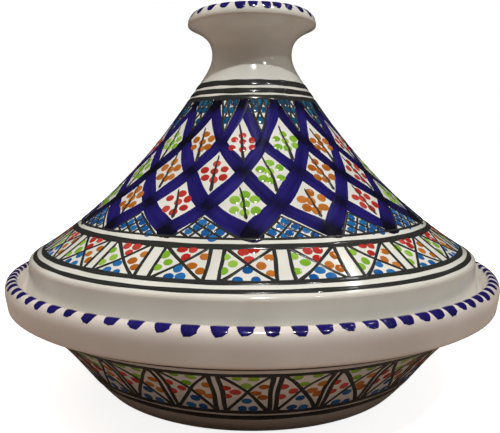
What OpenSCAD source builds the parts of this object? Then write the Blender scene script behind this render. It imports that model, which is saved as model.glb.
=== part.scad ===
// Glazed serving tagine: a flared dish with a wide collar, and a tall cone lid
// with a cupped knob, which stands loose on the ledge inside the collar.
// Each is thrown in one piece, so each is one outline turned about its axis.
// Heights are measured from the table that the foot ring stands on.

/* [Dish] */
// Diameter over the collar
dish_d = 310; // [290:1:360]
// Height of the lip above the table
dish_h = 72; // [66:0.5:90]
// Diameter of the foot
foot_d = 199; // [160:1:220]
// Width of the foot ring that touches the table
foot_ring_w = 9; // [6:0.5:16]
// How far the underside is hollowed inside the foot ring
foot_hollow = 3; // [1.5:0.5:5]
// Thickness of the bowl's wall
bowl_wall = 8; // [6:0.5:10]
// Thickness of the floor above the hollowed underside
floor_t = 7; // [5:0.5:10]

/* [Collar] */
// Height of the collar's outer face
collar_h = 17.7; // [14:0.1:20]
// How far the collar's face leans in towards its lower corner
collar_lean = 1.2; // [0:0.1:3]
// Width of the lip's painted top
lip_w = 6.6; // [5:0.1:9]
// Rounding between the top of the lip and the collar's face
lip_round = 5; // [3:0.1:6]
// Rounding of the collar's lower corner
corner_round = 1.6; // [1:0.1:4]

/* [Seat] */
// Depth of the ledge below the lip
seat_depth = 9.2; // [6:0.1:13]
// How far the wall round the ledge leans out from the ledge to the lip
seat_lean = 2; // [0.5:0.1:4]
// Clearance between that wall and the foot of the lid's side
seat_play = 3; // [2:0.1:6]
// How far the ledge reaches in past the lid's side
ledge_over = 2; // [1:0.5:5]

/* [Lid] */
// Thickness of the lid's wall
lid_wall = 6.5; // [5:0.5:9]
// Height of the lid's side, from the ledge to the shoulder
lid_side_h = 17.1; // [12:0.1:26]
// How far the side spreads towards its foot
lid_side_spread = 2; // [0.5:0.1:4]
// Rounding of the shoulder, where the side turns into the cone
shoulder_round = 3; // [2:0.1:6]
// Slope of the cone above the shoulder, in degrees
cone_foot_slope = 29.4; // [20:0.2:36]
// Slope of the cone below the neck, in degrees
cone_top_slope = 56.4; // [50:0.2:64]
// Height of the neck's waist above the ledge
waist_h = 144.5; // [120:0.1:180]
// Height of the flare between the waist and the cone
flare_h = 27.7; // [20:0.1:34]
// How far the flare widens towards the cone
flare_w = 14.6; // [10:0.1:20]

/* [Knob] */
// Diameter of the neck's waist
neck_d = 51.8; // [44:0.2:60]
// Diameter of the knob
knob_d = 83.2; // [74:0.2:96]
// Height of the knob above the waist
knob_h = 25.4; // [22:0.1:34]
// Height of the knob's painted edge
knob_edge_h = 7.4; // [5:0.1:9]
// Thickness of the knob's lip
knob_lip_t = 9; // [6:0.1:11]
// Depth of the cup in the top of the knob
cup_depth = 27; // [18:0.5:32]
// Diameter of the cup's round bottom
cup_floor_d = 12; // [8:0.5:20]
// Thickness of the clay between that cup and the inside of the lid
crown_t = 9; // [6:0.5:14]

/* [Hidden] */
$fn = 180;

// Straight pieces in a long curve, a short curve and a small rounding
long_steps = 24;
mid_steps = 12;
round_steps = 6;

// How strongly a curve holds its heading at an end, as a share of its chord
firm = 0.4;
soft = 0.28;
// The same where the dish's flare, the cone and the knob's underside end
flare_hold = 0.34;
cone_hold = 0.17;
underside_hold = 0.48;

// Small roundings of the clay's edges, and the fillet in the seat's corner
edge_round = 1.5;
knob_edge_round = 0.3;
seat_fillet = 4;
ledge_round = 4;

// Slopes of the dish's flare at the foot and under the collar, in degrees
flare_foot_slope = 46;
flare_top_slope = 19;
// Heights over which the bowl's inside sweeps into its floor and up to the ledge
floor_sweep = 8;
ledge_sweep = 15;

// Slope of the collar's face above its lower corner, and the dip of the lip's
// top and of the knob's top on either side of their crowns
collar_slope = 84;
lip_dip = 6;
knob_dip = 10;
// How far from upright the seat's wall, the ledge's inner face and the foot of
// the lid's side lean
seat_tilt = 15;
ledge_tilt = 10;
side_tilt = 14;
// Slopes of the knob's underside, of its edge and of the cup's mouth
underside_slope = 25;
knob_edge_slope = 74;
cup_mouth_slope = 55;

dish_r = dish_d / 2;
foot_r = foot_d / 2;
corner_z = dish_h - collar_h;
floor_z = foot_hollow + floor_t;

// The ledge, the wall round it, and the foot of the lid's side inside that wall
lip_r = dish_r - lip_w;
seat_z = dish_h - seat_depth;
seat_r = lip_r - seat_lean;
lid_r = seat_r - seat_play;
lid_in_r = lid_r - lid_wall;
ledge_r = lid_in_r - ledge_over;

shoulder_r = lid_r - lid_side_spread;
shoulder_z = seat_z + lid_side_h;
waist_r = neck_d / 2;
waist_z = seat_z + waist_h;
knob_r = knob_d / 2;
knob_z = waist_z + knob_h;
edge_z = knob_z - knob_edge_h;
cup_z = knob_z - cup_depth;
inside_z = cup_z - crown_t;

// Unit vector at an angle in degrees, in the plane of radius and height
function aim(angle) = [cos(angle), sin(angle)];

// Smooth curve from a to b that leaves at one angle and arrives at another
function curve(a, leave, hold_a, b, arrive, hold_b, steps) =
    let (chord = norm(b - a),
         p = a + hold_a * chord * aim(leave),
         q = b - hold_b * chord * aim(arrive))
    [for (i = [0 : steps])
        let (t = i / steps, u = 1 - t)
        u * u * u * a + 3 * u * u * t * p + 3 * u * t * t * q + t * t * t * b];

// Arc round a centre, from one angle to another
function arc(centre, r, from, to) =
    [for (i = [0 : round_steps]) centre + r * aim(from + (to - from) * i / round_steps)];

// Direction of travel at point i of a line
function heading(line, i) =
    let (a = line[max(i - 1, 0)], b = line[min(i + 1, len(line) - 1)])
    (b - a) / norm(b - a);

// The line moved t to the left of its direction of travel
function inset(line, t) =
    [for (i = [0 : len(line) - 1])
        let (h = heading(line, i)) line[i] + t * [-h[1], h[0]]];

// Slope of the line at point i, in degrees
function slope_at(line, i) = let (h = heading(line, i)) atan2(h[1], h[0]);

function backwards(line) = [for (i = [len(line) - 1 : -1 : 0]) line[i]];

// Underside with its foot ring, from the axis outwards
function foot_line() = concat(
    [[0, foot_hollow],
     [foot_r - foot_ring_w - foot_hollow, foot_hollow],
     [foot_r - foot_ring_w, 0]],
    arc([foot_r - edge_round, edge_round], edge_round, -90, flare_foot_slope - 90));

// Outside of the dish: one long flare from the foot to the collar's lower corner
flare_line = curve([foot_r - edge_round, edge_round] + edge_round * aim(flare_foot_slope - 90),
                   flare_foot_slope, soft, [dish_r - collar_lean - corner_round, corner_z],
                   flare_top_slope, flare_hold, long_steps);

// Collar, from its lower corner up its face to the crown of the lip
function collar_line() =
    let (low = [dish_r - collar_lean - corner_round, corner_z],
         side = [dish_r - collar_lean, corner_z + corner_round],
         wide = [dish_r, dish_h - lip_round - edge_round],
         crown = [dish_r - lip_round, dish_h])
    concat(
        curve(low, flare_top_slope, firm, side, collar_slope, firm, round_steps),
        curve(side, collar_slope, soft, wide, 90, soft, round_steps),
        curve(wide, 90, firm, crown, 180 - lip_dip, firm, mid_steps));

// Inside of the lip, down the wall of the seat and in along the ledge
ledge_c = [ledge_r + ledge_round, seat_z - ledge_round];
function seat_line() = concat(
    arc([lip_r + edge_round, dish_h - edge_round], edge_round, 90, 180 - seat_tilt),
    arc([seat_r - seat_fillet, seat_z + seat_fillet], seat_fillet, -seat_tilt, -90),
    arc(ledge_c, ledge_round, 90, 180 - ledge_tilt));

// Inside of the bowl's wall, where it follows the outside
bowl_inside = [for (q = inset(flare_line, bowl_wall))
    if (q[1] > floor_z + floor_sweep && q[1] < seat_z - ledge_sweep) q];

// Inside of the bowl, from the ledge down to the axis
function bowl_inside_line() =
    let (last = len(bowl_inside) - 1,
         top = bowl_inside[last],
         foot = bowl_inside[0])
    concat(
        curve(ledge_c + ledge_round * aim(180 - ledge_tilt), 270 - ledge_tilt, soft,
              top, 180 + slope_at(bowl_inside, last), soft, round_steps),
        backwards(bowl_inside),
        curve(foot, 180 + slope_at(bowl_inside, 0), firm,
              [foot[0] - 2 * floor_sweep, floor_z], 180, firm, mid_steps),
        [[0, floor_z]]);

// Outside of the lid: its edge on the ledge, its side and its shoulder
foot_c = [lid_r - edge_round, seat_z + edge_round];
shoulder_c = [shoulder_r - shoulder_round, shoulder_z];
function side_line() = concat(
    arc(foot_c, edge_round, -90, side_tilt),
    curve(foot_c + edge_round * aim(side_tilt), 90 + side_tilt, soft,
          [shoulder_r, shoulder_z], 90, soft, round_steps),
    arc(shoulder_c, shoulder_round, 0, 90 - cone_foot_slope));

// Outside of the lid from the shoulder to the neck, where the flare begins
flare_foot = [waist_r + flare_w, waist_z - flare_h];
cone_line = curve(shoulder_c + shoulder_round * aim(90 - cone_foot_slope),
                  180 - cone_foot_slope, firm, flare_foot, 180 - cone_top_slope, cone_hold,
                  long_steps);

// Outside of the lid above the cone: the flare, the waist and the knob's underside
knob_foot = [knob_r - knob_edge_round, edge_z];
function neck_line() = concat(
    curve(flare_foot, 180 - cone_top_slope, firm, [waist_r, waist_z], 90, soft, mid_steps),
    curve([waist_r, waist_z], 90, firm, knob_foot, underside_slope, underside_hold, mid_steps));

// Edge of the knob, its lip and the cup, ending on the axis
function knob_line() =
    let (crown = [knob_r - knob_lip_t / 2, knob_z],
         lip_in = [knob_r - knob_lip_t - edge_round, knob_z - knob_lip_t / 2])
    concat(
        curve(knob_foot, knob_edge_slope, soft, crown, 180 - knob_dip, soft, mid_steps),
        curve(crown, 180 + knob_dip, firm, lip_in, 180 + cup_mouth_slope, firm, round_steps),
        curve(lip_in, 180 + cup_mouth_slope, soft, [cup_floor_d / 2, cup_z], 180, firm,
              mid_steps),
        [[0, cup_z]]);

// Inside of the lid, from the axis down the hollow cone to the ledge
function lid_inside_line() =
    let (hollow = [for (q = inset(cone_line, lid_wall))
             if (q[0] < lid_in_r - lid_wall) q],
         top = hollow[len(hollow) - 1])
    concat(
        [[0, inside_z]],
        curve([0, inside_z], 0, firm, top, -cone_top_slope, soft, mid_steps),
        backwards(hollow),
        curve(hollow[0], -cone_foot_slope, firm, [lid_in_r, seat_z + lid_side_h / 2], 270, firm,
              round_steps),
        arc([lid_in_r + edge_round, seat_z + edge_round], edge_round, 180, 270));

module dish() {
    color([0.87, 0.85, 0.79])
    rotate_extrude()
    polygon(concat(foot_line(), flare_line, collar_line(), seat_line(), bowl_inside_line()));
}

module lid() {
    color([0.9, 0.88, 0.82])
    rotate_extrude()
    polygon(concat(side_line(), cone_line, neck_line(), knob_line(), lid_inside_line()));
}

dish();
lid();
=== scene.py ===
# Tagine pot: a turned earthenware dish and its conical lid, tin-glazed and painted by hand in bands.
import math
import random

import bmesh
import bpy
import numpy as np
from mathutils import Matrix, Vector


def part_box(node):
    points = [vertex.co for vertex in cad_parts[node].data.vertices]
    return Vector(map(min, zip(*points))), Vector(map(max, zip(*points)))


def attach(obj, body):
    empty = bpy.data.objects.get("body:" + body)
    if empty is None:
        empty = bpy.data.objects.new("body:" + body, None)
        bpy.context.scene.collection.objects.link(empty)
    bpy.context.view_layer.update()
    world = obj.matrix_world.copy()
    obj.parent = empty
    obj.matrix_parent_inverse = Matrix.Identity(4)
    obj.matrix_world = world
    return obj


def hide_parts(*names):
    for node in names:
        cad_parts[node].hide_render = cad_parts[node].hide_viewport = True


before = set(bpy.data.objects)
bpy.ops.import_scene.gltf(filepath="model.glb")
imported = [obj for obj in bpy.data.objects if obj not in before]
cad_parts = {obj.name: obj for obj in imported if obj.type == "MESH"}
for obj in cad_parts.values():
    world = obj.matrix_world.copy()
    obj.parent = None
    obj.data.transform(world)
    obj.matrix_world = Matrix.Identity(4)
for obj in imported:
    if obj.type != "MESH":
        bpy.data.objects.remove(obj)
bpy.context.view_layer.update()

scene = bpy.context.scene
hand = random.Random(41)  # the painter's hand: every unevenness below is drawn from here, in order

# ---------------------------------------------------------------- sizes, in millimetres and degrees
MM = 0.001
WELD = 0.002            # points closer than this are one point
COLUMNS = 240           # faces round a turned body
LONG_STEP = 4.0         # longest face along a straight wall
BEND_STEP = 6.0         # degrees that a wall may bend within one face
FINE_STEP = 0.25        # spacing at which an outline is drawn
UNEVEN = 0.5            # how far a hand-thrown wall wanders, in and out
UNEVEN_SIZE = 70.0      # distance over which it does so

BRISTLES = 7            # points across a brush stroke
STROKE_STEP = 1.4       # spacing of the points along one
LIP_STEP = 0.6          # the same where a stroke goes over a tight bend
SWAY = 0.25             # how far a stroke wanders from its path
SWAY_LENGTH = 26.0      # distance over which it does so
PRESS = 0.07            # share by which its width changes with the pressure of the hand
PUDDLE = 5.5            # how far paint pools round a crossing

WASH_LIFT = 0.16        # thickness of the cobalt
OVER_LIFT = 0.22        # of the cobalt that crosses other cobalt
BEAD_LIFT = 0.32        # of a bead of coloured glaze
LINE_LIFT = 0.36        # of the black lines, which go over all
SINK = 0.05             # how far the edge of paint melts into the glaze under it

BEAD_SEGMENTS = 14      # faces round a bead
BEAD_RINGS = 3          # and from its middle to its edge
RAGGED = 0.9            # how far a bead's edge strays from an ellipse
RAGGED_SIZE = 3.0       # distance over which it does so

# ---------------------------------------------------------------- helpers


def linear(hex_colour):
    """An sRGB hex colour as the linear RGBA that shaders work in."""
    srgb = [int(hex_colour[i:i + 2], 16) / 255 for i in (1, 3, 5)]
    return tuple(c / 12.92 if c <= 0.04045 else ((c + 0.055) / 1.055) ** 2.4 for c in srgb) + (1.0,)


def add_node(tree, kind, inputs=None, **settings):
    """Adds a node with its settings; an input takes a value, or a link from another node's output."""
    node = tree.nodes.new(kind)
    for name, value in settings.items():
        setattr(node, name, value)
    for socket, value in (inputs or {}).items():
        if isinstance(value, bpy.types.NodeSocket):
            tree.links.new(value, node.inputs[socket])
        else:
            node.inputs[socket].default_value = value
    return node


def new_object(name, data):
    thing = bpy.data.objects.new(name, data)
    scene.collection.objects.link(thing)
    return thing


def new_tree(name, inputs):
    """An empty Geometry Nodes tree with named inputs; gives back the tree and its input node's outputs."""
    tree = bpy.data.node_groups.new(name, "GeometryNodeTree")
    for way in ("INPUT", "OUTPUT"):
        tree.interface.new_socket("Geometry", in_out=way, socket_type="NodeSocketGeometry")
    for label, kind in inputs.items():
        tree.interface.new_socket(label, in_out="INPUT", socket_type="NodeSocket" + kind)
    return tree, add_node(tree, "NodeGroupInput").outputs


def grow(name, tree, values, guide):
    """Runs a tree on a guide mesh and gives back what it makes as a plain mesh object."""
    carrier = new_object(name + "_guide", guide)
    modifier = carrier.modifiers.new("grow", "NODES")
    modifier.node_group = tree
    for item in tree.interface.items_tree:
        if item.in_out == "INPUT" and item.name in values:
            modifier[item.identifier] = values[item.name]
    bpy.context.view_layer.update()
    grown = carrier.evaluated_get(bpy.context.evaluated_depsgraph_get())
    piece = new_object(name, bpy.data.meshes.new_from_object(grown))
    bpy.data.objects.remove(carrier)
    return piece


def guide_mesh(name, points, edges, **attributes):
    """Loose points, and lines between them, with a number or a vector kept at each point."""
    mesh = bpy.data.meshes.new(name)
    mesh.from_pydata([tuple(p) for p in points], edges, [])
    for label, values in attributes.items():
        values = np.asarray(values, np.float32)
        kind, field = ("FLOAT_VECTOR", "vector") if values.ndim == 2 else ("FLOAT", "value")
        mesh.attributes.new(label, kind, "POINT").data.foreach_set(field, values.ravel())
    return mesh


def run_along(points):
    """How far along a line each of its points lies."""
    return np.concatenate([[0], np.cumsum(np.linalg.norm(np.diff(points[:, :2], axis=0), axis=1))])


def trace(knots, step):
    """A smooth line through knots, drawn at an even step. A knot is a place in two numbers, and then
    whatever changes along the line with it, such as a width."""
    knots = np.asarray(knots, float)
    knots = np.vstack([2 * knots[0] - knots[1], knots, 2 * knots[-1] - knots[-2]])
    gaps = np.sqrt(np.linalg.norm(np.diff(knots[:, :2], axis=0), axis=1))[:, None]
    slopes = np.diff(knots, axis=0) / gaps
    over = (knots[2:] - knots[:-2]) / (gaps[1:] + gaps[:-1])
    heading = slopes[:-1] - over + slopes[1:]
    drawn = []
    for i in range(len(knots) - 3):
        start, end, gap = knots[i + 1], knots[i + 2], gaps[i + 1]
        count = max(4, int(2 * gap[0] ** 2 / step))
        t = np.linspace(0, 1, count, endpoint=False)[:, None]
        drawn.append((2 * t**3 - 3 * t**2 + 1) * start + (t**3 - 2 * t**2 + t) * gap * heading[i]
                     + (3 * t**2 - 2 * t**3) * end + (t**3 - t**2) * gap * heading[i + 1])
    drawn = np.vstack(drawn + [knots[-2:-1]])
    run = run_along(drawn)
    stops = np.linspace(0, run[-1], max(3, round(run[-1] / step) + 1))
    return np.column_stack([np.interp(stops, run, column) for column in drawn.T])


# ---------------------------------------------------------------- outlines, read from the frame


def cut_outline(node):
    """A turned solid's outline as (radius, height) corners, from the foot's end on the axis to the top's."""
    cut = bmesh.new()
    cut.from_mesh(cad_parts[node].data)
    bmesh.ops.remove_doubles(cut, verts=cut.verts, dist=WELD * MM)
    for normal, both in (((0, 1, 0), True), ((-1, 0, 0), False)):
        geometry = cut.verts[:] + cut.edges[:] + cut.faces[:]
        bmesh.ops.bisect_plane(cut, geom=geometry, dist=1e-7, plane_co=(0, 0, 0), plane_no=normal,
                               clear_outer=True, clear_inner=both)
    bmesh.ops.remove_doubles(cut, verts=cut.verts, dist=WELD * MM)
    on_axis = [v for v in cut.verts if abs(v.co.x) < WELD * MM]
    walked = [min(on_axis, key=lambda v: v.co.z)]
    while walked[-1]:
        ends = [e.other_vert(walked[-1]) for e in walked[-1].link_edges]
        walked.append(next((v for v in ends if v not in walked), None))
    corners = np.array([(v.co.x, v.co.z) for v in walked[:-1]]) / MM
    cut.free()
    return corners


class Wall:
    """The outline of a turned body: where a point lies for an angle and a distance along the wall."""

    def __init__(self, node):
        corners = cut_outline(node)
        other_side = corners[[1, -2]] * (-1, 1)
        line = trace(np.vstack([other_side[:1], corners, other_side[1:]]), FINE_STEP)
        line = line[line[:, 0] >= 0]
        line[[0, -1], 0] = 0
        self.line = line
        self.along = run_along(line)
        steps = np.diff(self.along)
        turn = np.unwrap(np.arctan2(*np.diff(line, axis=0).T[::-1]))
        self.bend = np.gradient(turn) / np.maximum(steps, FINE_STEP / 5)
        foot = np.flatnonzero(line[:, 1] < line[:, 1].min() + 0.01)[-1]
        crown = line[:, 1].argmax()
        self.outside = slice(foot, crown + 1)
        self.crown = self.along[crown]

    def thin(self):
        """How thin the glaze runs at each point of the outline: it creeps away from outward bends."""
        reach = np.arange(-12, 13)
        blur = np.exp(-(reach / 5) ** 2)
        bend = np.convolve(np.append(self.bend, self.bend[-1]), blur / blur.sum(), mode="same")
        return np.clip((bend - 0.05) / 0.35, 0, 1)

    def faces(self):
        """The outline's points at the spacing of a body's faces, closer where the wall bends, and how
        thin the glaze is there."""
        steps = np.diff(self.along)
        effort = steps / LONG_STEP + np.abs(np.degrees(self.bend * steps)) / BEND_STEP
        spent = np.concatenate([[0], np.cumsum(effort)])
        stops = np.interp(np.linspace(0, spent[-1], int(spent[-1])), spent, self.along)
        return np.column_stack([np.interp(stops, self.along, v) for v in (*self.line.T, self.thin())])

    def along_at(self, height):
        """How far along the outline its outer wall reaches a height."""
        return float(np.interp(height, self.line[self.outside, 1], self.along[self.outside]))

    def radius(self, along):
        return np.interp(along, self.along, self.line[:, 0])

    def degree(self, along):
        """How many millimetres one degree spans, round the pot."""
        return math.radians(1) * float(self.radius(along))

    def place(self, angle, along):
        """The point at an angle from the front, to the right, and a distance along the outline, in metres."""
        r, z = self.radius(along), np.interp(along, self.along, self.line[:, 1])
        a = np.radians(angle)
        return np.stack([r * np.sin(a), -r * np.cos(a), z], -1) * MM

    def facing(self, angle, along):
        """The direction in which the wall faces there."""
        ahead, behind = np.asarray(along) + 0.5, np.asarray(along) - 0.5
        dr = self.radius(ahead) - self.radius(behind)
        dz = np.interp(ahead, self.along, self.line[:, 1]) - np.interp(behind, self.along, self.line[:, 1])
        a = np.radians(angle)
        out = np.stack([dz * np.sin(a), -dz * np.cos(a), -dr], -1)
        return out / np.linalg.norm(out, axis=-1, keepdims=True)


# ---------------------------------------------------------------- trees


def turned_clay_tree():
    """Turns an outline into a closed body: a sheet of faces rolled round the axis, with an uneven wall."""
    tree, given = new_tree("turned_clay", {
        "Outline": "Object", "Columns": "Int", "Rows": "Int", "Uneven": "Float", "Uneven size": "Float",
        "Lowest": "Float", "Seed": "Float", "Glaze": "Material"})
    outline = add_node(tree, "GeometryNodeObjectInfo", {"Object": given["Outline"]}).outputs["Geometry"]
    across = add_node(tree, "ShaderNodeMath", {0: given["Columns"], 1: 1.0}, operation="ADD").outputs[0]
    sheet = add_node(tree, "GeometryNodeMeshGrid", {
        "Vertices X": across, "Vertices Y": given["Rows"]}).outputs
    mapped = add_node(tree, "GeometryNodeStoreNamedAttribute", data_type="FLOAT2", domain="CORNER", inputs={
        "Geometry": sheet["Mesh"], "Name": "OFBake", "Value": sheet["UV Map"]}).outputs[0]
    index = add_node(tree, "GeometryNodeInputIndex").outputs[0]
    row = add_node(tree, "ShaderNodeMath", {0: index, 1: given["Rows"]}, operation="MODULO").outputs[0]
    share = add_node(tree, "ShaderNodeMath", {0: index, 1: given["Rows"]}, operation="DIVIDE").outputs[0]
    column = add_node(tree, "ShaderNodeMath", {0: share}, operation="FLOOR").outputs[0]
    turn = add_node(tree, "ShaderNodeMath", {0: column, 1: given["Columns"]}, operation="DIVIDE").outputs[0]
    angle = add_node(tree, "ShaderNodeMath", {0: turn, 1: 2 * math.pi}, operation="MULTIPLY").outputs[0]
    position = add_node(tree, "GeometryNodeInputPosition").outputs[0]
    corner = add_node(tree, "GeometryNodeSampleIndex", data_type="FLOAT_VECTOR", inputs={
        "Geometry": outline, "Value": position, "Index": row}).outputs[0]
    thin_there = add_node(tree, "GeometryNodeInputNamedAttribute", data_type="FLOAT", inputs={
        "Name": "thin"}).outputs[0]
    thin = add_node(tree, "GeometryNodeSampleIndex", data_type="FLOAT", inputs={
        "Geometry": outline, "Value": thin_there, "Index": row}).outputs[0]
    kept = add_node(tree, "GeometryNodeStoreNamedAttribute", data_type="FLOAT", domain="POINT", inputs={
        "Geometry": mapped, "Name": "thin", "Value": thin}).outputs[0]
    rolled = add_node(tree, "ShaderNodeVectorRotate", rotation_type="Z_AXIS", inputs={
        "Vector": corner, "Angle": angle}).outputs[0]
    body = add_node(tree, "GeometryNodeSetPosition", {"Geometry": kept, "Position": rolled}).outputs[0]
    closed = add_node(tree, "GeometryNodeMergeByDistance", {
        "Geometry": body, "Distance": WELD * MM}).outputs[0]
    scale = add_node(tree, "ShaderNodeMath", {0: 1.0, 1: given["Uneven size"]}, operation="DIVIDE").outputs[0]
    noise = add_node(tree, "ShaderNodeTexNoise", noise_dimensions="4D", inputs={
        "W": given["Seed"], "Scale": scale, "Detail": 1.0}).outputs["Fac"]
    shift = add_node(tree, "ShaderNodeMath", {0: noise, 1: 0.5}, operation="SUBTRACT").outputs[0]
    depth = add_node(tree, "ShaderNodeMath", {0: shift, 1: given["Uneven"]}, operation="MULTIPLY").outputs[0]
    normal = add_node(tree, "GeometryNodeInputNormal").outputs[0]
    offset = add_node(tree, "ShaderNodeVectorMath", {0: normal, "Scale": depth}, operation="SCALE").outputs[0]
    thrown = add_node(tree, "GeometryNodeSetPosition", {"Geometry": closed, "Offset": offset}).outputs[0]
    at = add_node(tree, "ShaderNodeSeparateXYZ", {0: position}).outputs
    height = add_node(tree, "ShaderNodeMath", operation="MAXIMUM", inputs={
        0: at["Z"], 1: given["Lowest"]}).outputs[0]
    above = add_node(tree, "ShaderNodeCombineXYZ", {"X": at["X"], "Y": at["Y"], "Z": height}).outputs[0]
    stands = add_node(tree, "GeometryNodeSetPosition", {"Geometry": thrown, "Position": above}).outputs[0]
    smooth = add_node(tree, "GeometryNodeSetShadeSmooth", {"Geometry": stands}).outputs[0]
    glazed = add_node(tree, "GeometryNodeSetMaterial", {
        "Geometry": smooth, "Material": given["Glaze"]}).outputs[0]
    add_node(tree, "NodeGroupOutput", {"Geometry": glazed})
    return tree


def lay_on(tree, geometry, body, lift):
    """Lays points on a body: each goes to the nearest place on its surface and rises by its own lift."""
    surface = add_node(tree, "GeometryNodeObjectInfo", {"Object": body}).outputs["Geometry"]
    found = []
    for kind in ("GeometryNodeInputPosition", "GeometryNodeInputNormal"):
        found.append(add_node(tree, "GeometryNodeSampleNearestSurface", data_type="FLOAT_VECTOR", inputs={
            "Mesh": surface, "Value": add_node(tree, kind).outputs[0]}).outputs["Value"])
    rise = add_node(tree, "ShaderNodeVectorMath", {0: found[1], "Scale": lift}, operation="SCALE").outputs[0]
    place = add_node(tree, "ShaderNodeVectorMath", {0: found[0], 1: rise}, operation="ADD").outputs[0]
    laid = add_node(tree, "GeometryNodeSetPosition", {"Geometry": geometry, "Position": place}).outputs[0]
    return laid, found[1]


def crown_lift(tree, given, away, power):
    """The height of paint at a share of the way from its middle to its edge: full, then down into the
    glaze."""
    fall = add_node(tree, "ShaderNodeMath", {0: away, 1: power}, operation="POWER").outputs[0]
    high = add_node(tree, "ShaderNodeMath", {0: 1.0, 1: fall}, operation="SUBTRACT").outputs[0]
    rise = add_node(tree, "ShaderNodeMath", {0: high, 1: given["Lift"]}, operation="MULTIPLY").outputs[0]
    return add_node(tree, "ShaderNodeMath", {0: rise, 1: given["Sink"]}, operation="SUBTRACT").outputs[0]


def brush_stroke_tree():
    """Gives each guide line a brush's width and lays it on the body as a low, rounded stroke of paint."""
    tree, given = new_tree("brush_stroke", {
        "Body": "Object", "Bristles": "Int", "Lift": "Float", "Sink": "Float", "Paint": "Material"})
    line = add_node(tree, "GeometryNodeMeshToCurve", {"Mesh": given["Geometry"]}).outputs[0]
    facing = add_node(tree, "GeometryNodeInputNamedAttribute", data_type="FLOAT_VECTOR", inputs={
        "Name": "facing"}).outputs[0]
    line = add_node(tree, "GeometryNodeSetCurveNormal", mode="FREE", inputs={
        "Curve": line, "Normal": facing}).outputs[0]
    length = add_node(tree, "GeometryNodeSplineParameter").outputs["Length"]
    line = add_node(tree, "GeometryNodeStoreNamedAttribute", data_type="FLOAT", domain="POINT", inputs={
        "Geometry": line, "Name": "along", "Value": length}).outputs[0]
    brush = add_node(tree, "GeometryNodeCurvePrimitiveLine", {
        "Start": (0, -0.5, 0), "End": (0, 0.5, 0)}).outputs[0]
    brush = add_node(tree, "GeometryNodeResampleCurve", {
        "Curve": brush, "Count": given["Bristles"]}).outputs[0]
    share = add_node(tree, "GeometryNodeSplineParameter").outputs["Factor"]
    brush = add_node(tree, "GeometryNodeStoreNamedAttribute", data_type="FLOAT", domain="POINT", inputs={
        "Geometry": brush, "Name": "across", "Value": share}).outputs[0]
    width = add_node(tree, "GeometryNodeInputNamedAttribute", data_type="FLOAT", inputs={
        "Name": "width"}).outputs[0]
    ribbon = add_node(tree, "GeometryNodeCurveToMesh", {
        "Curve": line, "Profile Curve": brush, "Scale": width}).outputs[0]
    across = add_node(tree, "GeometryNodeInputNamedAttribute", data_type="FLOAT", inputs={
        "Name": "across"}).outputs[0]
    off = add_node(tree, "ShaderNodeMath", {0: across, 1: 2.0, 2: -1.0}, operation="MULTIPLY_ADD").outputs[0]
    away = add_node(tree, "ShaderNodeMath", {0: off}, operation="ABSOLUTE").outputs[0]
    laid, _ = lay_on(tree, ribbon, given["Body"], crown_lift(tree, given, away, 4.0))
    smooth = add_node(tree, "GeometryNodeSetShadeSmooth", {"Geometry": laid}).outputs[0]
    painted = add_node(tree, "GeometryNodeSetMaterial", {
        "Geometry": smooth, "Material": given["Paint"]}).outputs[0]
    add_node(tree, "NodeGroupOutput", {"Geometry": painted})
    return tree


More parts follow.
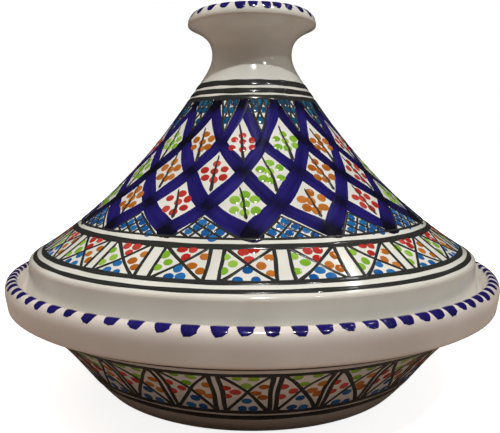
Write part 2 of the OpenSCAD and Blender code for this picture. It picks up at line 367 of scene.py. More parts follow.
def glaze_bead_tree():
    """Sets a low, round, slightly ragged bead of glaze at each guide point on the body's wall."""
    tree, given = new_tree("glaze_bead", {
        "Body": "Object", "Segments": "Int", "Rings": "Int", "Lift": "Float", "Sink": "Float",
        "Ragged": "Float", "Ragged size": "Float", "Glaze": "Material"})
    points, normal = lay_on(tree, given["Geometry"], given["Body"], 0.0)
    disc = add_node(tree, "GeometryNodeMeshCone", fill_type="NONE", inputs={
        "Vertices": given["Segments"], "Side Segments": given["Rings"], "Radius Top": 0.0,
        "Radius Bottom": 0.5, "Depth": 1e-6}).outputs["Mesh"]
    position = add_node(tree, "GeometryNodeInputPosition").outputs[0]
    reach = add_node(tree, "ShaderNodeVectorMath", {0: position}, operation="LENGTH").outputs["Value"]
    share = add_node(tree, "ShaderNodeMath", {0: reach, 1: 2.0}, operation="MULTIPLY").outputs[0]
    disc = add_node(tree, "GeometryNodeStoreNamedAttribute", data_type="FLOAT", domain="POINT", inputs={
        "Geometry": disc, "Name": "edge", "Value": share}).outputs[0]
    upright = add_node(tree, "FunctionNodeAlignRotationToVector", {"Vector": normal}, axis="Z").outputs[0]
    uphill = add_node(tree, "FunctionNodeAlignRotationToVector", {
        "Rotation": upright, "Vector": (0, 0, 1)}, axis="Y", pivot_axis="Z").outputs[0]
    wide = add_node(tree, "GeometryNodeInputNamedAttribute", {"Name": "wide"}, data_type="FLOAT").outputs[0]
    tall = add_node(tree, "GeometryNodeInputNamedAttribute", {"Name": "tall"}, data_type="FLOAT").outputs[0]
    size = add_node(tree, "ShaderNodeCombineXYZ", {"X": wide, "Y": tall, "Z": 1.0}).outputs[0]
    beads = add_node(tree, "GeometryNodeInstanceOnPoints", {
        "Points": points, "Instance": disc, "Rotation": uphill, "Scale": size}).outputs[0]
    real = add_node(tree, "GeometryNodeRealizeInstances", {"Geometry": beads}).outputs[0]
    edge = add_node(tree, "GeometryNodeInputNamedAttribute", {"Name": "edge"}, data_type="FLOAT").outputs[0]
    scale = add_node(tree, "ShaderNodeMath", {0: 1.0, 1: given["Ragged size"]}, operation="DIVIDE").outputs[0]
    noise = add_node(tree, "ShaderNodeTexNoise", {"Scale": scale}).outputs["Color"]
    swing = add_node(tree, "ShaderNodeVectorMath", operation="SUBTRACT", inputs={
        0: noise, 1: (0.5, 0.5, 0.5)}).outputs[0]
    reach = add_node(tree, "ShaderNodeMath", {0: edge, 1: given["Ragged"]}, operation="MULTIPLY").outputs[0]
    push = add_node(tree, "ShaderNodeVectorMath", {0: swing, "Scale": reach}, operation="SCALE").outputs[0]
    ragged = add_node(tree, "GeometryNodeSetPosition", {"Geometry": real, "Offset": push}).outputs[0]
    laid, _ = lay_on(tree, ragged, given["Body"], crown_lift(tree, given, edge, 3.0))
    smooth = add_node(tree, "GeometryNodeSetShadeSmooth", {"Geometry": laid}).outputs[0]
    glazed = add_node(tree, "GeometryNodeSetMaterial", {
        "Geometry": smooth, "Material": given["Glaze"]}).outputs[0]
    add_node(tree, "NodeGroupOutput", {"Geometry": glazed})
    return tree


TURNED_CLAY = turned_clay_tree()
BRUSH_STROKE = brush_stroke_tree()
GLAZE_BEAD = glaze_bead_tree()

# ---------------------------------------------------------------- materials


def new_material(name, **sockets):
    """A material with one Principled shader; the sockets that are the same all over are set here."""
    material = bpy.data.materials.new(name)
    material.use_nodes = True
    tree = material.node_tree
    tree.nodes.clear()
    shader = add_node(tree, "ShaderNodeBsdfPrincipled", {k.replace("_", " "): v for k, v in sockets.items()})
    add_node(tree, "ShaderNodeOutputMaterial", {"Surface": shader.outputs[0]})
    return material, tree, shader


def tin_glaze(name, bare_below, grey, cream):
    """Tin-whitened lead glaze over buff earthenware, dipped: a creamy, slightly uneven gloss that goes from
    grey to cream in faint clouds, thins to a warm tone on sharp edges, and has turning rings, a few iron
    specks, and bare clay below the height at which the piece was wiped to stand in the kiln."""
    material, tree, shader = new_material(name, IOR=1.5)
    place = add_node(tree, "ShaderNodeTexCoord").outputs["Object"]
    cloud = add_node(tree, "ShaderNodeTexNoise", {
        "Vector": place, "Scale": 1 / (45 * MM), "Detail": 3.0}).outputs[0]
    tone = add_node(tree, "ShaderNodeValToRGB", {0: cloud})
    tone.color_ramp.elements[0].position, tone.color_ramp.elements[0].color = 0.3, linear(grey)
    tone.color_ramp.elements[1].position, tone.color_ramp.elements[1].color = 0.7, linear(cream)
    thin = add_node(tree, "ShaderNodeAttribute", attribute_name="thin").outputs["Fac"]
    worn = add_node(tree, "ShaderNodeMath", {0: thin, 1: 0.3}, operation="MULTIPLY").outputs[0]
    warm = add_node(tree, "ShaderNodeMix", {0: worn, 6: tone.outputs[0], 7: linear("#cbb39b")},
                    data_type="RGBA").outputs[2]
    speck = add_node(tree, "ShaderNodeTexVoronoi", {
        "Vector": place, "Scale": 1 / (9 * MM)}).outputs["Distance"]
    dark = add_node(tree, "ShaderNodeMapRange", {0: speck, 1: 0.03, 2: 0.06, 3: 0.5, 4: 0.0}).outputs[0]
    pick = add_node(tree, "ShaderNodeTexNoise", {"Vector": place, "Scale": 1 / (14 * MM)}).outputs[0]
    rare = add_node(tree, "ShaderNodeMath", {0: pick, 1: 0.62}, operation="GREATER_THAN").outputs[0]
    specks = add_node(tree, "ShaderNodeMath", {0: dark, 1: rare}, operation="MULTIPLY").outputs[0]
    speckled = add_node(tree, "ShaderNodeMix", {0: specks, 6: warm, 7: linear("#8a7460")},
                        data_type="RGBA").outputs[2]
    height = add_node(tree, "ShaderNodeSeparateXYZ", {0: place}).outputs["Z"]
    ripple = add_node(tree, "ShaderNodeTexNoise", {"Vector": place, "Scale": 1 / (3 * MM)}).outputs[0]
    edge = add_node(tree, "ShaderNodeMath", {0: ripple, 1: 0.3 * MM, 2: bare_below * MM},
                    operation="MULTIPLY_ADD").outputs[0]
    bare = add_node(tree, "ShaderNodeMath", {0: height, 1: edge}, operation="LESS_THAN").outputs[0]
    colour = add_node(tree, "ShaderNodeMix", {0: bare, 6: speckled, 7: linear("#b5805e")},
                      data_type="RGBA").outputs[2]
    sheen = add_node(tree, "ShaderNodeMapRange", {0: cloud, 1: 0.3, 2: 0.7, 3: 0.08, 4: 0.16}).outputs[0]
    rough = add_node(tree, "ShaderNodeMix", {0: bare, 2: sheen, 3: 0.85}).outputs[0]
    stretched = add_node(tree, "ShaderNodeMapping", {"Vector": place, "Scale": (0.1, 0.1, 1.0)}).outputs[0]
    turning = add_node(tree, "ShaderNodeTexNoise", {"Vector": stretched, "Scale": 1 / (5 * MM)}).outputs[0]
    peel = add_node(tree, "ShaderNodeTexNoise", {
        "Vector": place, "Scale": 1 / (6 * MM), "Detail": 2.0}).outputs[0]
    relief = add_node(tree, "ShaderNodeMath", {0: turning, 1: peel}, operation="ADD").outputs[0]
    bump = add_node(tree, "ShaderNodeBump", {
        "Height": relief, "Strength": 0.1, "Distance": 0.4 * MM}).outputs[0]
    tree.links.new(colour, shader.inputs["Base Color"])
    tree.links.new(rough, shader.inputs["Roughness"])
    tree.links.new(bump, shader.inputs["Normal"])
    return material


def brushed_paint(name, thick, washed, pooled, streak):
    """Metal-oxide colour brushed on the raw glaze and fired into it: glossy, streaked along the stroke,
    weak where the brush ran thin, and almost black at the edges and where it pooled or crossed itself.
    A stroke can also be darkened all along; on the lattice that darkening is painted dark reflection."""
    material, tree, shader = new_material(name, IOR=1.5)
    across = add_node(tree, "ShaderNodeAttribute", attribute_name="across").outputs["Fac"]
    along = add_node(tree, "ShaderNodeAttribute", attribute_name="along").outputs["Fac"]
    tone = add_node(tree, "ShaderNodeAttribute", attribute_name="tone").outputs["Fac"]
    pool = add_node(tree, "ShaderNodeAttribute", attribute_name="pool").outputs["Fac"]
    place = add_node(tree, "ShaderNodeCombineXYZ", {"X": across, "Y": along, "Z": tone}).outputs[0]
    drawn = add_node(tree, "ShaderNodeMapping", {"Vector": place, "Scale": (4, 1 / (22 * MM), 30)}).outputs[0]
    noise = add_node(tree, "ShaderNodeTexNoise", {"Vector": drawn, "Scale": 1.0, "Detail": 4.0}).outputs[0]
    load = add_node(tree, "ShaderNodeMath", {0: noise, 1: streak, 2: 0.5 - streak / 2},
                    operation="MULTIPLY_ADD").outputs[0]
    body = add_node(tree, "ShaderNodeMix", {0: load, 6: linear(thick), 7: linear(washed)},
                    data_type="RGBA").outputs[2]
    off = add_node(tree, "ShaderNodeMath", {0: across, 1: 2.0, 2: -1.0}, operation="MULTIPLY_ADD").outputs[0]
    away = add_node(tree, "ShaderNodeMath", {0: off}, operation="ABSOLUTE").outputs[0]
    rim = add_node(tree, "ShaderNodeMapRange", {0: away, 1: 0.7, 2: 1.0, 3: 0.0, 4: 0.4}).outputs[0]
    dark = add_node(tree, "ShaderNodeMath", {0: pool, 1: rim}, operation="MAXIMUM").outputs[0]
    deep = add_node(tree, "ShaderNodeMix", {0: dark, 6: body, 7: linear(pooled)}, data_type="RGBA").outputs[2]
    rough = add_node(tree, "ShaderNodeMapRange", {0: noise, 1: 0.3, 2: 0.7, 3: 0.10, 4: 0.18}).outputs[0]
    tree.links.new(deep, shader.inputs["Base Color"])
    tree.links.new(rough, shader.inputs["Roughness"])
    return material


def bead_glaze(name, pale, full):
    """Coloured glaze dabbed on in beads: low, glassy and a little uneven, paler at the rim where it runs
    thin."""
    material, tree, shader = new_material(name, IOR=1.52)
    tone = add_node(tree, "ShaderNodeAttribute", attribute_name="tone").outputs["Fac"]
    edge = add_node(tree, "ShaderNodeAttribute", attribute_name="edge").outputs["Fac"]
    place = add_node(tree, "ShaderNodeTexCoord").outputs["Object"]
    noise = add_node(tree, "ShaderNodeTexNoise", {"Vector": place, "Scale": 1 / (2.5 * MM)}).outputs[0]
    load = add_node(tree, "ShaderNodeMath", {0: noise, 1: 0.5, 2: tone}, operation="MULTIPLY_ADD").outputs[0]
    rim = add_node(tree, "ShaderNodeMapRange", {0: edge, 1: 0.85, 2: 1.0, 3: 1.0, 4: 0.55}).outputs[0]
    strong = add_node(tree, "ShaderNodeMath", {0: load, 1: rim}, operation="MULTIPLY").outputs[0]
    colour = add_node(tree, "ShaderNodeMix", {0: strong, 6: linear(pale), 7: linear(full)},
                      data_type="RGBA").outputs[2]
    rough = add_node(tree, "ShaderNodeMapRange", {0: noise, 1: 0.3, 2: 0.7, 3: 0.08, 4: 0.16}).outputs[0]
    tree.links.new(colour, shader.inputs["Base Color"])
    tree.links.new(rough, shader.inputs["Roughness"])
    return material


# ---------------------------------------------------------------- bodies and their painting


class Pot:
    """One turned body: it stands for its CAD node, and carries its own paint and beads."""

    def __init__(self, node, glaze, seed):
        self.node = node
        self.wall = Wall(node)
        self.beads = {}
        rows = self.wall.faces()
        points = np.column_stack([rows[:, 0], 0 * rows[:, 0], rows[:, 1]]) * MM
        edges = [(i, i + 1) for i in range(len(points) - 1)]
        outline = new_object(node + "_outline", guide_mesh(node, points, edges, thin=rows[:, 2]))
        self.clay = grow(node + "_glazed_body", TURNED_CLAY, {
            "Outline": outline, "Columns": COLUMNS, "Rows": len(points), "Uneven": UNEVEN * MM,
            "Uneven size": UNEVEN_SIZE * MM, "Lowest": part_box(node)[0].z, "Seed": seed,
            "Glaze": glaze}, bpy.data.meshes.new(node))
        bpy.data.objects.remove(outline)
        self.dress(self.clay)
        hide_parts(node)

    def dress(self, piece):
        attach(piece, self.node + "_body")

    def dab(self, colour, angle, along, wide, tall):
        """Keeps the place and the size of one bead until its colour is set down."""
        size = [side * hand.uniform(0.88, 1.12) * MM for side in (wide, tall)]
        self.beads.setdefault(colour, []).append((angle, along, *size, hand.random()))

    def set_down_beads(self):
        for colour, beads in self.beads.items():
            angle, along, wide, tall, tone = np.array(beads).T
            guide = guide_mesh(colour, self.wall.place(angle, along), [], wide=wide, tall=tall, tone=tone)
            self.dress(grow(f"{self.node}_beads_{colour}", GLAZE_BEAD, {
                "Body": self.clay, "Segments": BEAD_SEGMENTS, "Rings": BEAD_RINGS,
                "Lift": BEAD_LIFT * MM, "Sink": SINK * MM, "Ragged": RAGGED * MM,
                "Ragged size": RAGGED_SIZE * MM, "Glaze": BEAD_GLAZES[colour]}, guide))


class Brush:
    """One paint on one pot: its strokes are kept as guide lines and laid on the clay together."""

    def __init__(self, pot):
        self.pot = pot
        self.points, self.edges = [], []

    def stroke(self, knots, width, puddle=0.0, darkening=0.0, step=STROKE_STEP, round_off=0.5):
        """A stroke through knots of (angle, along), with a width and a puddle, or one of each for each
        knot, and a share by which it is darkened all along. Its ends round off over a share of its width."""
        knots = np.asarray(knots, float)
        degree = self.pot.wall.degree(knots[:, 1].mean())
        each = np.arange(len(knots))
        rows = trace(np.column_stack([knots[:, 0] * degree, knots[:, 1], width + 0 * each, each]), step)
        across, along, broad, station = rows.T
        run = run_along(rows)
        puddles = np.interp(each, station, run)
        pools = np.exp(-((run[:, None] - puddles) / PUDDLE) ** 2) * (puddle + 0 * each)
        phase = hand.uniform(0, 2 * math.pi)
        across = across + SWAY * np.sin(run / SWAY_LENGTH * 2 * math.pi + phase)
        press = 1 + PRESS * np.sin(run / SWAY_LENGTH * 5 + 3 * phase)
        short = np.clip(np.minimum(run, run[-1] - run) / (broad * round_off), 0, 1)
        broad = np.maximum(broad * press * np.sqrt(1 - (1 - short) ** 2), 0.02)
        first = len(self.points)
        self.edges += [(first + i, first + i + 1) for i in range(len(rows) - 1)]
        tone = np.full(len(rows), hand.random())
        # Real pooling at the crossings, plus each stroke's darkening all along, which on the lattice is
        # painted reflection.
        pool = np.minimum(pools.sum(1) + darkening, 1)
        self.points += np.column_stack([across / degree, along, broad * MM, tone, pool]).tolist()

    def ring(self, height, width):
        """A band run round the pot on a turning wheel: one long stroke that overlaps its own start."""
        along = self.pot.wall.along_at(height)
        start = 150 + hand.uniform(0, 60)
        turns = np.arange(74)
        self.stroke(np.column_stack([start + 5 * turns, along + 0.15 * np.sin(turns * 0.5 + height)]),
                    width * (1 + 0.06 * np.sin(turns * 1.3 + height)))

    def lay(self, name, paint, lift):
        """Lays all the strokes on the clay as one piece."""
        angle, along, width, tone, pool = np.array(self.points).T
        wall = self.pot.wall
        guide = guide_mesh(name, wall.place(angle, along), self.edges, facing=wall.facing(angle, along),
                           width=width, tone=tone, pool=pool)
        self.pot.dress(grow(name, BRUSH_STROKE, {
            "Body": self.pot.clay, "Bristles": BRISTLES, "Lift": lift * MM, "Sink": SINK * MM,
            "Paint": paint}, guide))


cobalt = brushed_paint("cobalt_wash", thick="#150f4e", washed="#2e2585", pooled="#0d0b1c", streak=1.2)
black = brushed_paint("manganese_black_line", thick="#222322", washed="#3e3f3c", pooled="#161616", streak=1.0)
BEAD_GLAZES = {
    "red": bead_glaze("iron_red_bead_glaze", "#d4544a", "#b32a24"),
    "green": bead_glaze("copper_green_bead_glaze", "#a2cc50", "#7db02c"),
    "orange": bead_glaze("ochre_bead_glaze", "#cf8238", "#ae6219"),
    "blue": bead_glaze("cobalt_blue_bead_glaze", "#2e7cba", "#125496"),
    "teal": bead_glaze("copper_blue_bead_glaze", "#257796", "#0f4c74"),
}

lid_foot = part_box("lid")[0].z / MM
# The dish's glaze is set lighter than the lid's: partly painted light, brightening the gutter and the collar
# that the lamps leave darker.
dish = Pot("dish", tin_glaze("tin_glazed_earthenware_dish", 0.2, "#dfd8d0", "#f3ede6"), seed=3.0)
lid = Pot("lid", tin_glaze("tin_glazed_earthenware_lid", lid_foot + 0.2, "#dfdfd5", "#efefe6"), seed=8.0)

# ---------------------------------------------------------------- the cobalt lattice on the cone

LATTICE_COLUMNS = 16
LATTICE_PITCH = 360 / LATTICE_COLUMNS
LATTICE_TURN = -3.4                                     # of the first column, from the front
LATTICE_HEIGHTS = (171.9, 151.5, 134.3, 118.3, 105.7)   # of the five levels of crossings
LATTICE_LEAN = (-2.6, -2.2, -0.8, 0.4, 2.2)             # degrees by which each level is carried round
TOP_TIP, LOW_TIP = 5.0, 4.5                             # how far the strokes run on past the end levels
drift = {(level, column): (hand.gauss(0, 0.5), hand.gauss(0, 0.6))
         for level in range(len(LATTICE_HEIGHTS)) for column in range(LATTICE_COLUMNS)}


def between(a, b, share):
    """The place at a share of the way from one place to another, and past it where the share is over 1."""
    return a[0] + (b[0] - a[0]) * share, a[1] + (b[1] - a[1]) * share


def crossing(level, column):
    """Where two strokes cross: odd levels lie half a column on."""
    turn, slip = drift[level, column % LATTICE_COLUMNS]
    angle = LATTICE_TURN + LATTICE_LEAN[level] + (column + level % 2 / 2) * LATTICE_PITCH + turn
    return angle, lid.wall.along_at(LATTICE_HEIGHTS[level]) + slip


def lattice_width(along):
    """A stroke of the lattice widens as the cone does."""
    return 3.6 + 0.068 * float(lid.wall.radius(along))


def paint_lattice():
    """Sixteen strokes down to the right, then sixteen down to the left, each through five crossings."""
    for lean, lift, name in ((1, WASH_LIFT, "right"), (-1, OVER_LIFT, "left")):
        brush = Brush(lid)
        for k in range(LATTICE_COLUMNS):
            path = [crossing(level, k + (level // 2 if lean > 0 else -((level + 1) // 2)))
                    for level in range(len(LATTICE_HEIGHTS))]
            top = between(path[1], path[0], 1 + TOP_TIP / (path[0][1] - path[1][1]))
            low = between(path[-2], path[-1], 1 + LOW_TIP / (path[-2][1] - path[-1][1]))
            path = [top, *path, low]
            widths = [lattice_width(along) * hand.uniform(0.92, 1.1) for _, along in path]
            puddles = [0.4] + [hand.uniform(0.7, 1.0) for _ in LATTICE_HEIGHTS] + [0.4]
            # Some strokes are darkened all along at random: painted dark reflection of the surroundings in
            # the glossy cobalt.
            brush.stroke(path, np.array(widths), np.array(puddles), darkening=hand.choice((0, 0.05, 0.2, 0.5)))
        brush.lay("lid_cobalt_lattice_" + name, cobalt, lift)


# ---------------------------------------------------------------- what fills the lattice

CYCLE = ("red", "green", "orange")
CLUSTER = ((0, 0), (0, 5.3), (0.6, -5.2), (-5.2, 1.7), (5.4, 1.9), (-4.4, -3.7), (5.6, -3.7))
LOZENGES = (    # upper corner's level, height of the white, the cluster's stretch, bead, place in the cycle
    (0, 34.6, (0.96, 1.0), 5.2, 0),
    (1, 33.0, (0.95, 1.2), 5.6, 1),
    (2, 27.0, (1.02, 1.2), 6.0, 1),
)
SLIP = 0.45             # how far the hand misses a bead's place
HATCH_WIDTH = 1.5
OVERSHOOT = 1.03        # share of its path that a hatching line runs
BASE_SET_BACK = 0.3     # share of a row by which the beads along a triangle's base are set back
LID_RINGS = ((186.4, 4.9), (181.3, 4.2), (176.9, 4.3), (103.2, 1.7), (99.9, 4.0), (86.8, 3.3), (83.8, 3.1))
DISH_RINGS = ((51.6, 3.9), (45.4, 5.0), (16.7, 3.6), (12.4, 4.6))


def dab_near(pot, colour, place, x, y, wide, tall):
    """A bead some millimetres to the right of a place and above it, give or take the hand's slip."""
    angle, along = place
    x, y = x + hand.gauss(0, SLIP), y + hand.gauss(0, SLIP)
    pot.dab(colour, angle + x / pot.wall.degree(along), along + y, wide, tall)


def fill_lozenge(line, level, column, height, stretch, bead, colour):
    """Seven beads in the middle of a lozenge, and one slanting black line down it."""
    side = column + level % 2
    corners = [crossing(level, column), crossing(level + 1, side - 1), crossing(level + 1, side),
               crossing(level + 2, column)]
    middle = tuple(sum(corner[i] for corner in corners) / 4 for i in (0, 1))
    middle = (middle[0], middle[1] - 2.0 * (level == 0))
    bead *= 0.93 if colour == "red" else 1.0
    for x, y in CLUSTER:
        dab_near(lid, colour, middle, x * stretch[0], y * stretch[1], bead, bead)
    degree = lid.wall.degree(middle[1])
    slant = hand.gauss(1.8, 0.8) / degree
    high, low = height * hand.uniform(0.31, 0.46), height * hand.uniform(0.4, 0.48)
    line.stroke([(middle[0] - slant * 1.2, middle[1] + high), (middle[0], middle[1]),
                 (middle[0] + slant * 0.7, middle[1] - low)], np.array((1.0, 1.6, 2.3)))


def hatch_triangle(line, tip, left, right, rows, colour, bead, chance):
    """A three-cornered gap hatched in black along both its sides, with a bead in each cell. The half cells
    along its base have one only by chance, set back from the base by a share of a row."""
    for i in range(rows):
        for near, far in ((left, right), (right, left)):
            start, end = between(tip, near, i / rows), between(far, near, i / rows)
            line.stroke([start, between(start, end, OVERSHOOT)], HATCH_WIDTH)
    for row in range(1, rows + 1):
        share = (row - BASE_SET_BACK * (row == rows)) / rows
        a, b = between(tip, left, share), between(tip, right, share)
        for i in range(row):
            if row < rows or hand.random() < chance:
                dab_near(lid, colour, between(a, b, (i + 0.5) / row), 0, 0, bead, bead)


def fill_lattice(line):
    for level, height, stretch, bead, start in LOZENGES:
        for k in range(-LATTICE_COLUMNS // 2, LATTICE_COLUMNS // 2):
            fill_lozenge(line, level, k, height, stretch, bead, CYCLE[(k + start) % 3])
    top_ring, low_ring = lid.wall.along_at(176.0), lid.wall.along_at(103.2)
    for k in range(LATTICE_COLUMNS):
        for level, row, ring, gap, reach, rows, colour, bead, chance in (
                (0, 1, top_ring, 3.0, 7.0, 3, "teal", 5.8, 0.9),
                (4, 3, low_ring, 4.5, -7.5, 4, "blue", 5.0, 0.4)):
            tip = crossing(row, k)
            gap /= lid.wall.degree(ring)
            left, right = crossing(level, k)[0] + gap, crossing(level, k + 1)[0] - gap
            hatch_triangle(line, (tip[0], tip[1] + reach), (left, ring), (right, ring), rows,
                           colour, bead, chance)


# ---------------------------------------------------------------- the bands of crossed panels

LID_BAND = {
    "count": 24, "first": -8.4, "top": 99.9, "bottom": 86.8, "bar": 3.5, "bar_width": 2.1,
    "falling": (2.5, 1.7, 2.1), "rising": (2.0, 1.6, 2.4), "bead": (5.6, 5.2),
    "spots": {  # places in a panel, as shares of its half width and half height
        "red": ((-0.22, 0.74), (0.24, 0.78), (0.04, 0.34)),
        "green": ((-0.86, 0.42), (-0.52, 0.0), (-0.88, -0.38)),
        "orange": ((0.82, 0.36), (0.48, -0.06), (0.8, -0.44)),
        "blue": ((-0.05, -0.34), (-0.32, -0.8), (0.2, -0.82)),
    }}
DISH_BAND = {
    "count": 29, "first": -7.7, "top": 45.4, "bottom": 16.7, "bar": 1.8, "bar_width": 2.6,
    "falling": (2.6, 2.3, 2.6), "rising": (2.1, 1.9, 2.1), "bead": (5.7, 5.8),
    "spots": {
        "green": ((-0.3, 0.8), (0.32, 0.8), (0.0, 0.36)),
        "red": ((-0.86, 0.25), (-0.4, 0.02), (-0.88, -0.2)),
        "orange": ((0.74, 0.3), (0.42, -0.05), (0.76, -0.26)),
        "blue": ((0.0, -0.4), (-0.25, -0.8), (0.35, -0.82)),
    }}


def paint_band(line, band):
    """A band of panels: two upright lines at each bar, an X in each panel and three beads in its corners."""
    pot, step = line.pot, 360 / band["count"]
    high, low = pot.wall.along_at(band["top"]), pot.wall.along_at(band["bottom"])
    middle, tall = (high + low) / 2, (high - low) / 2
    degree = pot.wall.degree(middle)
    bar = band["bar"] / degree
    for k in range(band["count"]):
        centre = band["first"] + (k + 0.5) * step + hand.uniform(-0.25, 0.25)
        left, right = centre - step / 2 + bar, centre + step / 2 - bar
        for side in (left, right):
            line.stroke([(side, high), (side + hand.uniform(-0.3, 0.3), low - hand.uniform(0, 2))],
                        band["bar_width"])
        for start, end, widths in ((left, right, band["falling"]), (right, left, band["rising"])):
            bow = hand.uniform(-0.7, 0.7) / degree
            line.stroke([(start, high), (centre + bow, middle), (end, low - hand.uniform(0, 1.2))],
                        np.array(widths))
        for colour, spots in band["spots"].items():
            for x, y in spots:
                dab_near(pot, colour, (centre, middle), x * (right - centre) * degree, y * tall,
                         *band["bead"])


# ---------------------------------------------------------------- the dashes over the lip and the knob


def dashes(brush, count, first, swell, waves, crown, shape, pull, step):
    """Short strokes of a full, flat brush over a lip: broad on its crown, narrower and blunt below, and
    often drawn off to one side. Their spacing swells and shrinks round the pot, as it does by eye."""
    for k in range(count):
        even = first + k * 360 / count
        angle = even + swell * math.sin(math.radians(waves[0] * even + waves[1])) + hand.gauss(0, 0.15)
        tail = hand.choice((-1.3, -0.9, -0.2, 0.4, 1.1)) / brush.pot.wall.degree(crown)
        reach = hand.uniform(*pull)
        path = [(angle, crown + shape["inside"]), (angle, crown), (angle, crown - reach * 0.4),
                (angle + tail * 0.5, crown - reach * 0.72), (angle + tail, crown - reach)]
        widths = np.array(shape["widths"]) * hand.uniform(0.94, 1.06)
        brush.stroke(path, widths, darkening=hand.uniform(0.1, 0.4), step=step, round_off=shape["round_off"])


def paint_rim():
    brush = Brush(dish)
    dashes(brush, 86, -3.65, 2.67, (3, 78), dish.wall.crown,
           {"inside": 3.0, "widths": (7.2, 8.5, 8.0, 6.8, 5.4), "round_off": 0.06}, (4.6, 6.2), LIP_STEP)
    brush.lay("dish_rim_dashes", cobalt, OVER_LIFT)


def paint_knob():
    brush = Brush(lid)
    dashes(brush, 28, -1.35, -3.4, (3, -36), lid.wall.crown,
           {"inside": 1.5, "widths": (6.0, 7.2, 6.8, 5.8, 4.4), "round_off": 0.2}, (5.2, 6.8), LIP_STEP)
    brush.lay("lid_knob_dashes", cobalt, OVER_LIFT)


def paint_lid():
    line = Brush(lid)
    fill_lattice(line)
    paint_band(line, LID_BAND)
    for height, width in LID_RINGS:
        line.ring(height, width)
    line.lay("lid_black_lines", black, LINE_LIFT)


def paint_dish():
    line = Brush(dish)
    paint_band(line, DISH_BAND)
    for height, width in DISH_RINGS:
        line.ring(height, width)
    line.lay("dish_black_lines", black, LINE_LIFT)


paint_lattice()
paint_lid()
paint_dish()
paint_rim()
paint_knob()
dish.set_down_beads()
lid.set_down_beads()

# ---------------------------------------------------------------- floor, light and camera

CAMERA_BACK = 382.5     # from the pot's axis
CAMERA_HEIGHT = 144.3
CAMERA_SIDE = -1.3
CAMERA_PITCH = 6.33     # degrees down
LENS = 41.1
SENSOR = 36.0
FLOOR_REACH = 3000.0
TABLE_COLOUR = "#ac9d92"  # of the light that the floor throws back
CARD_GLOW = (0.3, 0.85, 1.2, 1.0)  # the card's own light at a near distance in metres, and at a far one
LIGHT_BACK = 1500.0     # distance of each lamp from the pot
AIM = Vector((0, 0, 120)) * MM
LAMPS = (   # name, degrees to the right of the front, degrees up, size, watts, colour, seen in the glaze
    ("key", 7, 65, 32, 8.6, "#ffffff", True),
    ("side", 46, 55.5, 36, 1.9, "#ffffff", True),
    ("spark", 65, 40, 20, 0.2, "#ffffff", True),
    ("back", 121, 58.5, 44, 0.6, "#ffffff", True),
    ("left_wall", -70, 30, 900, 1.7, "#ffe2d2", False),
    ("right_wall", 70, 30, 900, 2.6, "#fff2eb", False),
    ("left_high", -105, 52, 900, 5.2, "#fff0e8", False),
    ("right_high", 110, 52, 900, 2.2, "#fff6f0", False),
    ("ceiling", 0, 84, 1200, 8.0, "#ffffff", False),
)
SKY = (     # height of a direction, from straight down to straight up, and what the glaze sees there
    (0.5, "#2e2a28"), (0.6, "#242220"), (1.0, "#302f2c"))


def area_light(name, azimuth, elevation, size, watts, colour, seen):
    light = bpy.data.lights.new(name, "AREA")
    light.shape, light.size, light.energy = "DISK", size * MM, watts
    light.color = linear(colour)[:3]
    lamp = new_object(name, light)
    a, e = math.radians(azimuth), math.radians(elevation)
    ray = Vector((math.sin(a) * math.cos(e), -math.cos(a) * math.cos(e), math.sin(e)))
    lamp.location = AIM + ray * LIGHT_BACK * MM
    lamp.rotation_euler = ray.to_track_quat("Z", "Y").to_euler()
    lamp.visible_glossy = seen


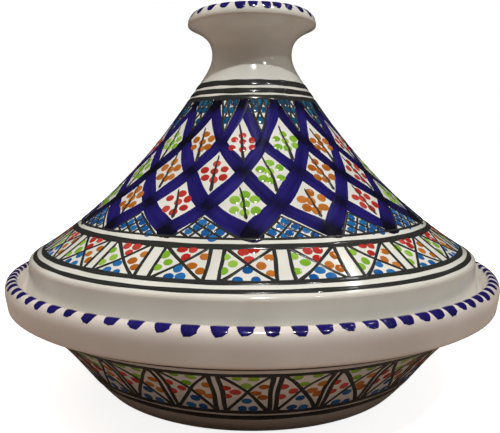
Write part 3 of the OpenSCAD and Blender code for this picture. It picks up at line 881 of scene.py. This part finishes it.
def lay_floor():
    """A card that the camera sees almost white, whiter still away from the pot so that its far edge
    doesn't show. To all other light it is a warm table top, and throws that colour back on the pot."""
    reach = FLOOR_REACH * MM
    mesh = bpy.data.meshes.new("floor")
    corners = [(-reach, -reach, 0), (reach, -reach, 0), (reach, reach, 0), (-reach, reach, 0)]
    mesh.from_pydata(corners, [], [(0, 1, 2, 3)])
    card, tree, shader = new_material("pale_card", Base_Color=linear("#f6f6f4"), Roughness=0.9,
                                      Emission_Color=linear("#ffffff"))
    place = add_node(tree, "ShaderNodeTexCoord").outputs["Object"]
    away = add_node(tree, "ShaderNodeVectorMath", {0: place}, operation="LENGTH").outputs["Value"]
    near, near_glow, far, far_glow = CARD_GLOW
    glow = add_node(tree, "ShaderNodeMapRange", {
        0: away, 1: near, 2: far, 3: near_glow, 4: far_glow}).outputs[0]
    tree.links.new(glow, shader.inputs["Emission Strength"])
    seen = add_node(tree, "ShaderNodeLightPath").outputs["Is Camera Ray"]
    table = add_node(tree, "ShaderNodeBsdfDiffuse", {"Color": linear(TABLE_COLOUR)}).outputs[0]
    both = add_node(tree, "ShaderNodeMixShader", {0: seen, 1: table, 2: shader.outputs[0]}).outputs[0]
    tree.links.new(both, tree.nodes["Material Output"].inputs["Surface"])
    mesh.materials.append(card)
    new_object("floor", mesh)


def light_studio():
    """Small lamps in a dark room; the camera itself sees white behind the pot."""
    for lamp in LAMPS:
        area_light(*lamp)
    scene.world = bpy.data.worlds.new("studio")
    scene.world.use_nodes = True
    tree = scene.world.node_tree
    tree.nodes.clear()
    way = add_node(tree, "ShaderNodeTexCoord").outputs["Generated"]
    up = add_node(tree, "ShaderNodeSeparateXYZ", {0: way}).outputs["Z"]
    share = add_node(tree, "ShaderNodeMath", {0: up, 1: 0.5, 2: 0.5}, operation="MULTIPLY_ADD").outputs[0]
    ramp = add_node(tree, "ShaderNodeValToRGB", {0: share})
    stops = ramp.color_ramp.elements
    while len(stops) < len(SKY):
        stops.new(0.5)
    for stop, (height, colour) in zip(stops, SKY):
        stop.position, stop.color = height, linear(colour)
    room = add_node(tree, "ShaderNodeBackground", {"Color": ramp.outputs[0]}).outputs[0]
    white = add_node(tree, "ShaderNodeBackground", {"Color": linear("#ffffff")}).outputs[0]
    seen = add_node(tree, "ShaderNodeLightPath").outputs["Is Camera Ray"]
    both = add_node(tree, "ShaderNodeMixShader", {0: seen, 1: room, 2: white}).outputs[0]
    add_node(tree, "ShaderNodeOutputWorld", {"Surface": both})


def set_camera():
    data = bpy.data.cameras.new("camera")
    data.lens, data.sensor_width, data.clip_start = LENS, SENSOR, 10 * MM
    camera = new_object("camera", data)
    camera.location = Vector((CAMERA_SIDE, -CAMERA_BACK, CAMERA_HEIGHT)) * MM
    camera.rotation_euler = (math.radians(90 - CAMERA_PITCH), 0, 0)
    scene.camera = camera
    scene.view_settings.view_transform = "Standard"


lay_floor()
light_studio()
set_camera()

bpy.context.view_layer.update()
